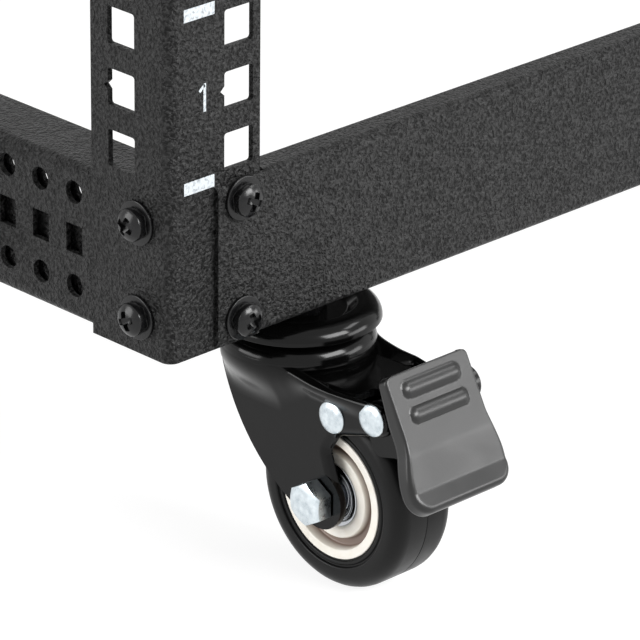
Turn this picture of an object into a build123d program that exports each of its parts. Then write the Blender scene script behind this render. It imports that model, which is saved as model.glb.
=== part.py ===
"""Open-frame equipment rack, four posts, 6 units high, on four braked swivel casters.

Millimetres. The origin is on the floor under the middle of the rack, with +Z up and the
numbered front towards -Y. One quarter of the frame and one caster are modelled in their own
places, and the others follow by mirror and by half a turn.
"""
from build123d import *
from math import cos, pi, radians, sin
import os

# Rack grid
unit_height = 44.45
rack_units = 6
hole_first = 6.35
hole_pitch = 15.875
column_spacing = 465.1
hole_size = 9.5
hole_corner = 0.8
notch_depth = 1.3
notch_width = 2.4

# Sheet metal
sheet = 1.5
bend = 3.0
edge_gap = 0.55

# Posts
post_front = 30.0
post_side = 28.0
front_hole_inset = 22.85
side_hole_inset = 17.05
foot_units = 1

# Beams across the front and the rear
beam_height = 42.8
beam_bend = 2.5
beam_inset = 14.8
beam_lip = 8.3
beam_floor = 34.0
beam_notch = 31.5

# Telescoping side rails
rail_pitch = 12.5
rail_bays = 28
rail_first = 11.35
rail_height = 41.5
rail_depth = 18.3
rail_bend = 2.5
rail_round = 6.0
rail_slot_width = 6.0
rail_slot_height = 7.6
rail_low_row = 9.1
rail_row_gap = 12.5
rail_end_gap = 2.8
inner_sheet = 1.2
inner_step = 1.7
inner_slack = 0.35
inner_short = 2.2
inner_start_bay = 2
outer_bays_left = 3
clamp_past_inner = 3
clamp_before_outer = 2
joggle_length = 12.0
joggle_flat = 18.0

# Screws and nuts of the frame
screw_shank = 5.0
screw_hole = 5.4
screw_head = 8.5
screw_head_height = 2.9
screw_head_side = 1.3
screw_head_top = 2.6
washer_width = 11.5
washer_sheet = 0.6
nut_width = 8.0
nut_height = 4.0
spacer_width = 9.0
hexagon_turned_in = 0.3
hexagon_turned_down = 1.2

# Caster wheel
wheel_radius = 25.5
wheel_side_gap = 1.5
tyre_shoulder = 3.4
tyre_lip = 0.8
hub_radius = 17.2
hub_set_back = 0.5
hub_rim = 2.5
hub_boss_radius = 11.8
hub_boss_recess = 0.9
hub_groove = 3.0
hub_draft = 0.5
bearing_radius = 8.6
bearing_set_back = 1.3
bearing_seal_radius = 6.4
bearing_seal_depth = 1.0
inner_ring_radius = 5.0
axle_radius = 3.0
axle_nut_width = 10.0
axle_nut_height = 4.2
running_gap = 0.05

# Caster fork
swivel_inset_x = 57.6
swivel_inset_y = 14.6
trail = 21.8
axle_drop = 47.9
fork_sheet = 2.0
fork_width = 27.0
fork_plate_drop = 16.4
fork_bend = 3.0
fork_tail = 14.5
fork_nose = 45.1
fork_plate_nose = 36.2
fork_end_radius = 8.0
leg_gap = 0.3
leg_end_angle = 50.0
leg_back_drop = 17.0
leg_belly_out = 6.5
leg_belly_drop = 35.5
leg_arch_out = 27.6
leg_arch_drop = 29.0
leg_waist_out = 24.6
leg_waist_drop = 34.0
leg_nose_depth = 4.1
leg_nose_round = 3.7
leg_arch_round = 3.5
leg_waist_round = 2.0
slot_out = 34.2
slot_width = 4.4
slot_length = 9.5
slot_depth = 2.2

# Swivel head
race_radius = 21.5
race_drop = 6.6
race_skirt = 1.3
race_ring_radius = 14.6
race_ring_width = 1.4
race_ring_rise = 2.1
race_dome_rise = 1.7
race_floor_drop = 5.9
lower_race_step = 1.3
lower_race_top = 15.0
lower_race_drop = 8.9
lower_race_edge_drop = 13.4
lower_race_swell = 1.0
shoulder_drop = 20.0
shoulder_swell = 1.2
ball_gap = 0.6
kingpin_radius = 4.0
kingpin_head_radius = 7.0
kingpin_head_height = 2.0
stem_above_floor = 12.0
stem_nut_width = 13.0
stem_nut_height = 5.6

# Brake pedal
pedal_pivot_out = 40.5
pedal_pivot_drop = 19.6
pedal_pin_radius = 2.5
pedal_sheet = 1.6
pedal_cheek = 2.0
pedal_width = 26.0
pedal_foot_width = 29.2
pedal_top_out = 45.4
pedal_top_drop = 6.5
pedal_waist_out = 50.0
pedal_waist_drop = 15.2
pedal_shin_out = 55.0
pedal_shin_drop = 24.5
pedal_fold_out = 58.5
pedal_fold_drop = 33.1
pedal_lip_out = 61.4
pedal_lip_drop = 37.0
pedal_toe_out = 59.0
pedal_toe_drop = 41.0
pedal_skirt = 3.9
pedal_corner = 4.0
pedal_top_round = 1.2
pedal_flare = 8.0
pedal_bend = 12.0
pedal_fold = 0.3
pedal_lip_round = 1.8
pedal_cheek_gap = 0.4
pedal_eye_radius = 4.0
rib_length = 21.0
rib_radius = 3.2
rib_height = 0.9
rib_places = (3.6, 10.2)
rivet_out = 26.4
rivet_drop = 23.55
rivet_radius = 4.2
rivet_height = 1.5
rivet_side = 0.4
rivet_round = 1.1

# Worked out from the sizes above
post_height = (rack_units + 2 * foot_units) * unit_height + 2 * edge_gap
first_unit = edge_gap + foot_units * unit_height
rack_width = column_spacing + 2 * front_hole_inset
rack_depth = 2 * rail_first + rail_bays * rail_pitch
post_base = axle_drop + wheel_radius
axle_height = wheel_radius
wheel_width = fork_width - 2 * fork_sheet - 2 * wheel_side_gap
hub_width = wheel_width - 2 * hub_set_back
bearing_width = wheel_width - 2 * bearing_set_back
lower_race_radius = race_radius - lower_race_step
swivel_x = rack_width / 2 - swivel_inset_x
swivel_y = rack_depth / 2 - swivel_inset_y
outer_end_bay = rail_bays - outer_bays_left
clamp_bays = (inner_start_bay + clamp_past_inner, outer_end_bay - clamp_before_outer)

front_plane = Plane(origin=(0, 0, 0), x_dir=(1, 0, 0), z_dir=(0, -1, 0))
side_plane = Plane(origin=(0, 0, 0), x_dir=(0, 1, 0), z_dir=(1, 0, 0))
through = 200.0
cut_over = 1.0


def rounded(points, radii):
    """Face inside a closed outline whose corners are rounded by the given radii."""
    return make_face(FilletPolyline(*points, radius=radii, close=True))


def rack_hole(notched, towards):
    """Square rack hole, and on the middle one of each unit a small V notch on one side."""
    hole = RectangleRounded(hole_size, hole_size, hole_corner)
    if notched:
        edge = towards * hole_size / 2
        tip = edge + towards * notch_depth
        inside = edge - towards * cut_over
        notch = Polyline((inside, -notch_width / 2), (inside, notch_width / 2),
                         (edge, notch_width / 2), (tip, 0), (edge, -notch_width / 2), close=True)
        hole += make_face(notch)
    return hole


def rack_holes(inset, towards):
    """All square holes of one flange, three to a unit, at their height over the post's foot."""
    holes = Sketch()
    for unit in range(rack_units):
        for step in range(3):
            height = first_unit + unit * unit_height + hole_first + step * hole_pitch
            holes += Pos(inset, height) * rack_hole(step == 1, towards)
    return holes


def foot_heights():
    """Heights of the beam screws, which carry the rack grid on past its last unit."""
    low = edge_gap + hole_first
    return (low, low + 2 * hole_pitch)


def rail_heights():
    """Heights of the two rows of round holes in a side rail."""
    low = edge_gap + rail_low_row
    return (low, low + 2 * rail_row_gap)


def both_ends(heights):
    """The same heights at the foot and, turned over, at the head of the post."""
    return tuple(heights) + tuple(post_height - height for height in heights)


def post():
    """Angle post of bent sheet with its corner at the origin, open towards +X and +Y."""
    outline = rounded(
        [(0, 0), (post_front, 0), (post_front, sheet), (sheet, sheet), (sheet, post_side), (0, post_side)],
        [bend, 0, 0, bend - sheet, 0, 0])
    body = extrude(outline, post_height)
    front = rack_holes(front_hole_inset, -1)
    for height in both_ends(foot_heights()):
        front += Pos(front_hole_inset, height) * Circle(screw_hole / 2)
    side = rack_holes(side_hole_inset, 1)
    for height in both_ends(rail_heights()):
        side += Pos(rail_first, height) * Circle(screw_hole / 2)
    body -= extrude(front_plane * front, 2 * bend, both=True)
    body -= extrude(side_plane * side, sheet + cut_over, both=True)
    return body


def beam(floor):
    """Channel beam across the front, its outer face one sheet before the posts.

    The upper lip is narrow. The lower flange is as deep as floor, and both stop short
    of the posts, where only the web runs on over the post's face.
    """
    low = edge_gap
    high = edge_gap + beam_height
    face = -sheet
    section = rounded(
        [(face, low), (face + floor, low), (face + floor, low + sheet), (face + sheet, low + sheet),
         (face + sheet, high - sheet), (face + beam_lip, high - sheet), (face + beam_lip, high),
         (face, high)],
        [beam_bend, 0, 0, beam_bend - sheet, beam_bend - sheet, 0, 0, beam_bend])
    length = rack_width - 2 * beam_inset
    body = Pos(beam_inset, 0, 0) * extrude(side_plane * section, length)
    for left in (0, rack_width - beam_notch):
        body -= Pos(left, 0, 0) * Box(beam_notch, floor + through, post_height,
                                      align=(Align.MIN, Align.MIN, Align.CENTER))
    holes = Sketch()
    for across in (front_hole_inset, rack_width - front_hole_inset):
        for height in foot_heights():
            holes += Pos(across, height) * Circle(screw_hole / 2)
    body -= extrude(front_plane * holes, bend, both=True)
    return body


def bottom_beam():
    """Lower front beam, whose deep flange carries the caster stems."""
    body = beam(beam_floor)
    for across in (swivel_inset_x, rack_width - swivel_inset_x):
        body -= Pos(across, swivel_inset_y, edge_gap) * Cylinder(kingpin_radius + running_gap, bend)
    return body


def top_beam():
    """Upper front beam, the same channel turned over, with two narrow lips."""
    return Pos(0, 0, post_height) * mirror(beam(beam_lip), about=Plane.XY)


def rail_rows(first, last, with_slots):
    """Round holes, and between their rows the upright slots, from one bay to another."""
    holes = Sketch()
    low, high = rail_heights()
    for bay in range(first, last + 1):
        along = rail_first + bay * rail_pitch
        for height in (low, high):
            holes += Pos(along, height) * Circle(rail_round / 2)
        if with_slots:
            holes += Pos(along, (low + high) / 2) * Rectangle(rail_slot_width, rail_slot_height)
    return holes


def outer_rail():
    """Outer channel of a side rail, inside the front post's side flange."""
    low = edge_gap
    high = edge_gap + rail_height
    back = sheet + rail_depth
    section = rounded(
        [(sheet, low), (back, low), (back, low + sheet), (2 * sheet, low + sheet),
         (2 * sheet, high - sheet), (back, high - sheet), (back, high), (sheet, high)],
        [rail_bend, 0, 0, rail_bend - sheet, rail_bend - sheet, 0, 0, rail_bend])
    start = bend + rail_end_gap
    end = rail_first + (outer_end_bay + 0.5) * rail_pitch
    body = Pos(0, start, 0) * extrude(Plane.XZ * section, -(end - start))
    body -= extrude(side_plane * rail_rows(1, outer_end_bay, True), through / 2)
    screws = Sketch()
    for height in rail_heights():
        screws += Pos(rail_first, height) * Circle(screw_hole / 2)
    body -= extrude(side_plane * screws, through / 2)
    return body


def inner_rail():
    """Inner channel, sliding in the outer one and stepped out to the rear post at its end."""
    low = edge_gap + sheet + inner_slack
    high = edge_gap + rail_height - sheet - inner_slack
    start = rail_first + (inner_start_bay - 0.5) * rail_pitch
    end = rack_depth - bend - rail_end_gap
    step_end = end - joggle_flat
    step_start = step_end - joggle_length
    web = 2 * sheet + inner_step
    back = sheet + rail_depth - inner_short

    def plan(offset, grow):
        """Plan of the channel, its web line moved inwards by offset."""
        return make_face(Polyline(
            (web + offset, start - grow), (web + offset, step_start), (sheet + offset, step_end),
            (sheet + offset, end + grow), (back + grow, end + grow), (back + grow, start - grow),
            close=True))

    body = Pos(0, 0, low) * extrude(plan(0, 0), high - low)
    room = high - low - 2 * inner_sheet
    body -= Pos(0, 0, low + inner_sheet) * extrude(plan(inner_sheet, cut_over), room)
    holes = rail_rows(inner_start_bay, outer_end_bay, False)
    for height in rail_heights():
        holes += Pos(rack_depth - rail_first, height) * Circle(screw_hole / 2)
    body -= extrude(side_plane * holes, through / 2)
    return body


def hexagon(width, height):
    """Hexagon nut or head standing on the XY plane, its upper corners turned off."""
    body = extrude(RegularPolygon(width / 2, 6, major_radius=False), height)
    corner = width / 2 / cos(pi / 6)
    turned = Polyline(
        (0, 0), (corner + cut_over, 0), (corner + cut_over, height - hexagon_turned_down),
        (width / 2 - hexagon_turned_in, height), (0, height), close=True)
    return body & revolve(make_face(Plane.XZ * turned), Axis.Z)


def pan_screw(grip):
    """Pan-head screw with its washer, its seat at the origin and its shank along -Z."""
    high = washer_sheet + screw_head_height
    side = washer_sheet + screw_head_side
    line = Polyline(
        (0, -grip), (screw_shank / 2, -grip), (screw_shank / 2, 0), (washer_width / 2, 0),
        (washer_width / 2, washer_sheet), (screw_head / 2, washer_sheet), (screw_head / 2, side),
        (screw_head_top, high), (0, high), close=True)
    return revolve(make_face(Plane.XZ * line), Axis.Z)


def fastener(grip):
    """Pan-head screw and the nut behind the sheets that it grips, as one piece."""
    return pan_screw(grip + nut_height) + Pos(0, 0, -grip - nut_height) * hexagon(nut_width, nut_height)


def beam_screws():
    """Screws of the front beams into the left post, along +Y."""
    seat = Plane(origin=(0, 0, 0), x_dir=(1, 0, 0), z_dir=(0, -1, 0))
    return [Pos(front_hole_inset, -sheet, height) * (seat * fastener(2 * sheet))
            for height in both_ends(foot_heights())]


def rail_screws():
    """Screws of the left side rails through the front post's side flange, along +X."""
    seat = Plane(origin=(0, 0, 0), x_dir=(0, 1, 0), z_dir=(-1, 0, 0))
    screws = [Pos(0, rail_first, height) * (seat * fastener(2 * sheet))
              for height in both_ends(rail_heights())]
    screws += [Pos(0, rack_depth - rail_first, height) * (seat * fastener(sheet + inner_sheet))
               for height in both_ends(rail_heights())]
    return screws


def clamp_screws():
    """Screws that lock the inner rail in the outer one, with a spacer ring between the webs."""
    seat = Plane(origin=(0, 0, 0), x_dir=(0, 1, 0), z_dir=(-1, 0, 0))
    screw = fastener(sheet + inner_step + inner_sheet)
    spacer = Pos(0, 0, -sheet) * Cylinder(spacer_width / 2, inner_step,
                                          align=(Align.CENTER, Align.CENTER, Align.MAX))
    screws = []
    for bay in clamp_bays:
        for height in both_ends(rail_heights()):
            place = Pos(sheet, rail_first + bay * rail_pitch, height)
            screws.append(place * (seat * (screw + spacer)))
    return screws


def upper_race():
    """Domed upper raceway of the swivel head, dished in the middle, on the caster's axis."""
    rim = post_base - race_drop
    ring = rim + race_ring_rise
    floor = post_base - race_floor_drop
    foot = rim - race_skirt
    ring_edge = race_ring_radius - race_ring_width
    dome = ThreePointArc((race_radius, rim), ((race_radius + race_ring_radius) / 2, rim + race_dome_rise),
                         (race_ring_radius, ring))
    rest = Polyline(
        (race_ring_radius, ring), (ring_edge, ring), (ring_edge - race_ring_width / 2, floor),
        (kingpin_radius / 2, floor), (kingpin_radius / 2, foot + race_skirt / 2),
        (race_radius - race_skirt, foot + race_skirt / 2), (race_radius - race_skirt / 2, foot),
        (race_radius, foot + race_skirt / 4), (race_radius, rim))
    return revolve(Plane.XZ * make_face([dome, *rest.edges()]), Axis.Z)


def stem():
    """Threaded stem with the nuts over and under the beam's flange, and the kingpin's rivet head."""
    flange_low = post_base + edge_gap
    nut_floor = post_base - race_floor_drop
    top = flange_low + sheet
    shank_low = post_base - fork_plate_drop - fork_sheet - ball_gap
    body = Pos(0, 0, shank_low) * Cylinder(kingpin_radius, top + stem_above_floor - shank_low,
                                           align=(Align.CENTER, Align.CENTER, Align.MIN))
    body += Pos(0, 0, nut_floor) * hexagon(stem_nut_width, flange_low - nut_floor)
    body += Pos(0, 0, top) * hexagon(stem_nut_width, stem_nut_height)
    body += Pos(0, 0, shank_low - kingpin_head_height) * Cylinder(
        kingpin_head_radius, kingpin_head_height, align=(Align.CENTER, Align.CENTER, Align.MIN))
    return body


def leg_outline():
    """Side view of a fork leg on the YZ plane, the wheel trailing towards -Y."""
    top = post_base - fork_plate_drop
    pivot = post_base - pedal_pivot_drop
    end_y = -trail + fork_end_radius * cos(radians(leg_end_angle))
    end_z = axle_height - fork_end_radius * sin(radians(leg_end_angle))
    back_z = post_base - leg_back_drop
    back = ThreePointArc((end_y, end_z), (leg_belly_out, post_base - leg_belly_drop), (fork_tail, back_z))
    front = FilletPolyline(
        (fork_tail, back_z), (fork_tail, top), (-fork_nose, top), (-fork_nose, pivot - leg_nose_depth),
        (-leg_arch_out, post_base - leg_arch_drop), (-leg_waist_out, post_base - leg_waist_drop),
        (-trail - fork_end_radius, axle_height), (end_y, end_z),
        radius=[0, leg_nose_round, leg_nose_round, leg_arch_round, leg_waist_round, 0])
    return make_face([back, front]) + Pos(-trail, axle_height) * Circle(fork_end_radius)


def lower_race():
    """Lower raceway, a dome over the fork's plate that rounds off downwards into both legs."""
    crest = post_base - lower_race_drop
    edge = post_base - lower_race_edge_drop
    low = post_base - shoulder_drop
    middle = (lower_race_radius + lower_race_top) / 2
    half = fork_width / 2
    swell = (middle + lower_race_swell, (crest + edge) / 2 + lower_race_swell)
    neck = ((lower_race_radius + half) / 2 + shoulder_swell, (edge + low) / 2 - shoulder_swell)
    line = [
        Line((0, low), (0, crest)), Line((0, crest), (lower_race_top, crest)),
        ThreePointArc((lower_race_top, crest), swell, (lower_race_radius, edge)),
        ThreePointArc((lower_race_radius, edge), neck, (half, low)), Line((half, low), (0, low))]
    return revolve(Plane.XZ * make_face(line), Axis.Z)


def fork():
    """Pressed fork with its lower raceway, two legs, and the bores for kingpin, axle and pivot."""
    top = post_base - fork_plate_drop
    half = fork_width / 2
    room = fork_width - 2 * fork_sheet
    block = extrude(side_plane * leg_outline(), half, both=True)
    block = fillet([edge for edge in block.edges().filter_by(Axis.Y)
                    if edge.center().Z > top - running_gap], fork_bend)
    block += lower_race()
    block -= Pos(0, 0, top - fork_sheet) * Box(room, through, through,
                                               align=(Align.CENTER, Align.CENTER, Align.MAX))
    block -= Pos(0, -fork_plate_nose, top) * Box(room, through, 3 * fork_sheet,
                                                 align=(Align.CENTER, Align.MAX, Align.CENTER))
    slot = extrude(SlotOverall(2 * slot_length, slot_width), slot_depth + fork_sheet)
    for side in (-1, 1):
        block -= Pos(side * half, -slot_out, top - slot_depth) * slot
    block -= Cylinder(kingpin_radius + running_gap, 2 * through)
    for out, drop, radius in ((trail, axle_drop, axle_radius), (rivet_out, rivet_drop, axle_radius),
                              (pedal_pivot_out, pedal_pivot_drop, pedal_pin_radius)):
        block -= Pos(0, -out, post_base - drop) * (Rot(0, 90, 0) * Cylinder(radius, through))
    return block


def caster_hardware():
    """Axle bolt and nut, the pedal's pivot rivet and the two short rivets of the legs."""
    half = fork_width / 2
    along_x = Plane(origin=(0, 0, 0), x_dir=(0, 1, 0), z_dir=(1, 0, 0))
    against_x = Plane(origin=(0, 0, 0), x_dir=(0, 1, 0), z_dir=(-1, 0, 0))
    axle = Pos(0, -trail, axle_height) * (
        Rot(0, 90, 0) * Cylinder(axle_radius, fork_width + axle_nut_height))
    for plane, place in ((along_x, half), (against_x, -half)):
        axle += Pos(place, -trail, axle_height) * (plane * hexagon(axle_nut_width, axle_nut_height))
    dome = Polyline((0, 0), (rivet_radius, 0), (rivet_radius, rivet_side),
                    (rivet_radius - rivet_round, rivet_height), (0, rivet_height), close=True)
    head = revolve(make_face(Plane.XZ * dome), Axis.Z)
    pivot = Pos(0, -pedal_pivot_out, post_base - pedal_pivot_drop) * (
        Rot(0, 90, 0) * Cylinder(pedal_pin_radius, fork_width))
    short = head + Cylinder(axle_radius, fork_sheet, align=(Align.CENTER, Align.CENTER, Align.MAX))
    pieces = [axle]
    for plane, place in ((along_x, half), (against_x, -half)):
        pivot += Pos(place, -pedal_pivot_out, post_base - pedal_pivot_drop) * (plane * head)
        pieces.append(Pos(place, -rivet_out, post_base - rivet_drop) * (plane * short))
    pieces.append(pivot)
    return pieces


def wheel_turned(profile):
    """Solid turned about the axle from a profile of radius and place across the wheel."""
    line = make_face(Polyline(*profile, close=True))
    about = Plane(origin=(0, -trail, axle_height), x_dir=(0, 0, 1), z_dir=(0, -1, 0))
    return revolve(about * line, Axis((0, -trail, axle_height), (1, 0, 0)))


def tyre():
    """Tread ring with a lip beside the hub and rounded shoulders."""
    half = wheel_width / 2
    side = hub_width / 2
    outline = rounded(
        [(hub_radius, -side), (hub_radius + tyre_lip, -half), (wheel_radius, -half), (wheel_radius, half),
         (hub_radius + tyre_lip, half), (hub_radius, side)],
        [0, 0, tyre_shoulder, tyre_shoulder, 0, 0])
    about = Plane(origin=(0, -trail, axle_height), x_dir=(0, 0, 1), z_dir=(0, -1, 0))
    return revolve(about * outline, Axis((0, -trail, axle_height), (1, 0, 0)))


def hub():
    """Moulded hub, a rim and a boss for the bearing with a groove between them."""
    half = hub_width / 2
    face = half - hub_boss_recess
    floor = half - hub_groove
    inner = hub_radius - hub_rim
    side = [(bearing_radius, face), (hub_boss_radius, face), (hub_boss_radius + hub_draft, floor),
            (inner - hub_draft, floor), (inner, half), (hub_radius, half)]
    return wheel_turned([(radius, -place) for radius, place in side] + side[::-1])


def bearing():
    """Bearing of the wheel, its seal set back, and its inner ring standing out between the legs."""
    half = bearing_width / 2
    seal = half - bearing_seal_depth
    inside = (fork_width - 2 * fork_sheet) / 2 - leg_gap
    bore = axle_radius + running_gap
    side = [(bore, inside), (inner_ring_radius, inside), (inner_ring_radius, seal),
            (bearing_seal_radius, seal), (bearing_seal_radius + bearing_seal_depth / 2, half),
            (bearing_radius, half)]
    return wheel_turned([(radius, -place) for radius, place in side] + side[::-1])


def under_foot(out, drop):
    """Point on the YZ plane, from its distance out and its depth under the post's foot."""
    return Vector(-out, post_base - drop)


def pedal_face():
    """Corners of the pedal's outer face, from its top edge down to its toe."""
    return [under_foot(pedal_top_out, pedal_top_drop), under_foot(pedal_waist_out, pedal_waist_drop),
            under_foot(pedal_shin_out, pedal_shin_drop), under_foot(pedal_fold_out, pedal_fold_drop),
            under_foot(pedal_lip_out, pedal_lip_drop), under_foot(pedal_toe_out, pedal_toe_drop)]


def set_back(line, depth):
    """The corners of a line moved by depth towards the wheel, square to the line at each corner."""
    moved = []
    for index, point in enumerate(line):
        before = line[max(index - 1, 0)]
        after = line[min(index + 1, len(line) - 1)]
        run = (after - before).normalized()
        moved.append(point + Vector(-run.Y, run.X) * depth)
    return moved


def pedal_band(near, far):
    """Side view of the space between two depths behind the pedal's face."""
    front = set_back(pedal_face(), near) if near else pedal_face()
    back = set_back(pedal_face(), far)
    bends = [0, pedal_bend, pedal_bend, pedal_fold, pedal_lip_round, 0]
    return rounded(front + back[::-1], bends + [0, 0, 0, pedal_bend, pedal_bend, 0])


def pedal_front(inset, over):
    """Front view of the pedal, narrow at the top and flared to its foot, drawn in by inset."""
    top = post_base - pedal_top_drop + over
    waist = post_base - pedal_shin_drop
    flare = post_base - pedal_fold_drop
    low = post_base - pedal_toe_drop - cut_over + inset
    narrow = pedal_width / 2 - inset
    wide = pedal_foot_width / 2 - inset
    corner = pedal_corner - inset
    outline = rounded(
        [(-narrow, top), (-narrow, waist), (-wide, flare), (-wide, low), (wide, low), (wide, flare),
         (narrow, waist), (narrow, top)],
        [pedal_top_round, pedal_flare, 0, corner, corner, 0, pedal_flare, pedal_top_round])
    return extrude(front_plane * outline, through)


def pedal_ribs():
    """Two raised ribs with round ends across the upper part of the pedal's face."""
    first, second = pedal_face()[:2]
    run = (second - first).normalized()
    inward = Vector(-run.Y, run.X)
    reach = rib_length / 2 - rib_radius
    ribs = []
    for place in rib_places:
        middle = first + run * place + inward * (rib_radius - rib_height)
        bar = Rot(0, 90, 0) * Cylinder(rib_radius, 2 * reach)
        bar += Pos(-reach, 0, 0) * Sphere(rib_radius)
        bar += Pos(reach, 0, 0) * Sphere(rib_radius)
        ribs.append(Pos(0, middle.X, middle.Y) * bar)
    return ribs


def pedal():
    """Brake pedal, a pressed cap with ribs, skirts and a lip, on two cheeks about the pivot rivet."""
    body = extrude(side_plane * pedal_band(0, pedal_skirt), through, both=True) & pedal_front(0, 0)
    behind = extrude(side_plane * pedal_band(pedal_sheet, 2 * pedal_skirt), through, both=True)
    for rib in pedal_ribs():
        body += rib - behind
    body -= behind & pedal_front(pedal_sheet, pedal_skirt)
    pivot = under_foot(pedal_pivot_out, pedal_pivot_drop)
    line = set_back(pedal_face(), pedal_sheet / 2)
    eye = Pos(pivot.X, pivot.Y) * Circle(pedal_eye_radius)
    cheek = make_face(Polyline(
        line[1], line[2], (line[2] + line[3]) / 2, pivot - Vector(0, pedal_eye_radius), pivot,
        pivot + Vector(0, pedal_eye_radius), close=True)) + eye
    middle = fork_width / 2 - fork_sheet - pedal_cheek_gap - pedal_cheek / 2
    for side in (-1, 1):
        body += Pos(side * middle, 0, 0) * extrude(side_plane * cheek, pedal_cheek / 2, both=True)
    body -= Pos(0, pivot.X, pivot.Y) * (
        Rot(0, 90, 0) * Cylinder(pedal_pin_radius + running_gap, through))
    return body


def at_corner(shape):
    """Moves a piece from the left front corner of the frame to its place over the floor."""
    return Pos(-rack_width / 2, -rack_depth / 2, post_base) * shape


def right(shape):
    """The same piece on the right-hand side."""
    return mirror(shape, about=Plane.YZ)


def rear(shape):
    """The same piece at the rear."""
    return mirror(shape, about=Plane.XZ)


def top(shape):
    """The same piece turned over, at the head of the posts."""
    middle = Plane(origin=(0, 0, post_base + post_height / 2), z_dir=(0, 0, 1))
    return mirror(shape, about=middle)


def all_corners(pieces):
    """Copies of the left front pieces at all four corners."""
    left = list(pieces)
    front = left + [right(piece) for piece in left]
    return front + [rear(piece) for piece in front]


def both_sides(pieces):
    """Copies of the left pieces on both sides."""
    left = list(pieces)
    return left + [right(piece) for piece in left]


def frame_nodes():
    """Every node of the fixed frame, by its name."""
    nodes = {}
    corner = at_corner(post())
    nodes["post_front_left"] = corner
    nodes["post_front_right"] = right(corner)
    nodes["post_rear_left"] = rear(corner)
    nodes["post_rear_right"] = rear(right(corner))
    low_beam = at_corner(bottom_beam())
    high_beam = at_corner(top_beam())
    nodes["beam_front_bottom"] = low_beam
    nodes["beam_front_top"] = high_beam
    nodes["beam_rear_bottom"] = rear(low_beam)
    nodes["beam_rear_top"] = rear(high_beam)
    outer = at_corner(outer_rail())
    inner = at_corner(inner_rail())
    nodes["rail_left_bottom_outer"] = outer
    nodes["rail_left_bottom_inner"] = inner
    nodes["rail_left_top_outer"] = top(outer)
    nodes["rail_left_top_inner"] = top(inner)
    nodes["rail_right_bottom_outer"] = right(outer)
    nodes["rail_right_bottom_inner"] = right(inner)
    nodes["rail_right_top_outer"] = top(right(outer))
    nodes["rail_right_top_inner"] = top(right(inner))
    nodes["beam_screws"] = Compound(all_corners(at_corner(piece) for piece in beam_screws()))
    nodes["rail_screws"] = Compound(both_sides(at_corner(piece) for piece in rail_screws()))
    nodes["clamp_screws"] = Compound(both_sides(at_corner(piece) for piece in clamp_screws()))
    return nodes


def caster_places():
    """Name, place and turn of each caster, its wheel trailing outwards from the rack."""
    return (("front_left", -swivel_x, -swivel_y, 0), ("front_right", swivel_x, -swivel_y, 0),
            ("rear_left", -swivel_x, swivel_y, 180), ("rear_right", swivel_x, swivel_y, 180))


def caster_nodes():
    """Every node of the four casters, and the stems and races that stay with the frame."""
    nodes = {}
    parts = {"fork": fork(), "hardware": Compound(caster_hardware()), "tyre": tyre(), "hub": hub(),
             "bearing": bearing(), "pedal": pedal()}
    one_stem = stem()
    one_race = upper_race() - Cylinder(kingpin_radius, 2 * through)
    stems = []
    races = []
    for name, across, along, turn in caster_places():
        place = Pos(across, along, 0) * Rot(0, 0, turn)
        for part, shape in parts.items():
            nodes[f"caster_{name}_{part}"] = place * shape
        stems.append(place * one_stem)
        races.append(place * one_race)
    nodes["caster_stems"] = Compound(stems)
    nodes["caster_races"] = Compound(races)
    return nodes


os.makedirs("parts", exist_ok=True)
for name, shape in {**frame_nodes(), **caster_nodes()}.items():
    export_step(shape, f"parts/{name}.step")
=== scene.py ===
"""Open-frame rack: finish of its sheet metal, screws, printed marks and casters.

Laid out as an add-on with one operator for each piece or group of like pieces. Lengths are in
metres in the scene and its settings, and in millimetres in the named sizes and the profiles. A
caster's shapes are drawn in its own frame: X across the wheel, -Y the way the wheel trails, Z up
from the posts' foot.
"""
import math

import bmesh
import bpy
import numpy as np
from mathutils import Matrix, Vector


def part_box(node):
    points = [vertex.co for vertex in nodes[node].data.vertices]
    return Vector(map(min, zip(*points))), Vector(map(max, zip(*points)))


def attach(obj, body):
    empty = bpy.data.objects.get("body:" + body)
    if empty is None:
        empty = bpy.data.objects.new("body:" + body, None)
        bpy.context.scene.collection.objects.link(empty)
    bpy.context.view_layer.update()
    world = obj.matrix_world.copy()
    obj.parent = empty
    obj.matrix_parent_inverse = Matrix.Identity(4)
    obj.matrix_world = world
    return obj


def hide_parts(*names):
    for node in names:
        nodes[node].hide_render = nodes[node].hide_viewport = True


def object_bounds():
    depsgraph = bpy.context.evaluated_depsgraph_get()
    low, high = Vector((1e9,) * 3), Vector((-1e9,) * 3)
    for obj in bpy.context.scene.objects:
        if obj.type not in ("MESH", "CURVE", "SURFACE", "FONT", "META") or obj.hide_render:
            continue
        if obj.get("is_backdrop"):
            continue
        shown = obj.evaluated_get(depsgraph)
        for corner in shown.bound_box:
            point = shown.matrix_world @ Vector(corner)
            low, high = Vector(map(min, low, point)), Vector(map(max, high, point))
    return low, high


bl_info = {
    "name": "Open-frame rack",
    "version": (1, 0, 0),
    "blender": (4, 5, 0),
    "location": "View3D > Sidebar > Rack",
    "description": "Dresses the rack's frame, screws, marks and casters",
    "category": "Object",
}

MM = 0.001
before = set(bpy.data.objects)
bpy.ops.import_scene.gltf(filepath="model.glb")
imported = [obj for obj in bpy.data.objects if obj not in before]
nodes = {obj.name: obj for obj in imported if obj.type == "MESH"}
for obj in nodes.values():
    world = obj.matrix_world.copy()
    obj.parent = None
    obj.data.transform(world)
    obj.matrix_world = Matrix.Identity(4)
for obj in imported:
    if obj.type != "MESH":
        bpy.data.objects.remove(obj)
cad_low, cad_high = (list(corner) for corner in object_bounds())
post_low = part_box("post_front_left")[0]
caster_names = ("front_left", "front_right", "rear_left", "rear_right")

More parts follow.
